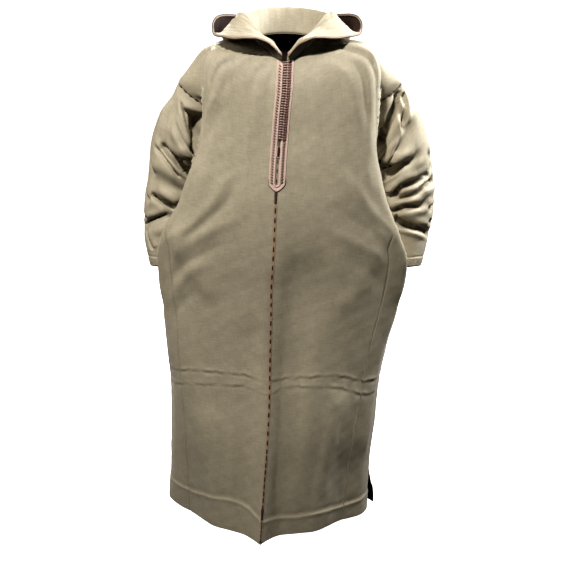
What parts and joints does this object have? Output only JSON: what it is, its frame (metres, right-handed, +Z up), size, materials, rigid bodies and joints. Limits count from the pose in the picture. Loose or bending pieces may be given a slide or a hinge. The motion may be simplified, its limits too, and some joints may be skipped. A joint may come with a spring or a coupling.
{
  "type": "hooded djellaba robe",
  "caption": "Ankle-length hooded robe with loose set-in sleeves, side gores, hand slits, hem vents and a braided front placket, hanging in its worn shape.",
  "frame": {"origin": "centre of the neck opening at the height of the shoulder tops, where the robe rests on the wearer's shoulders", "axes": "+X to the right as seen from the front (the wearer's left hand; node names use left and right as seen from the front), +Y towards the wearer's back, +Z up along the robe's length"},
  "size_m": [0.8165, 0.4083, 1.4706],
  "materials": {
    "wool_cloth": "smooth woven wool with a soft sheen",
    "silk_braid": "corded silk braid"
  },
  "bodies": {
    "root": {"front_left": "wool_cloth", "front_right": "wool_cloth", "gore_left": "wool_cloth", "gore_right": "wool_cloth", "back": "wool_cloth", "sleeve_left": "wool_cloth", "sleeve_right": "wool_cloth", "hood": "wool_cloth", "hood_braid": "silk_braid", "placket_braid": "silk_braid", "placket_ladder": "silk_braid"}
  },
  "joints": []
}
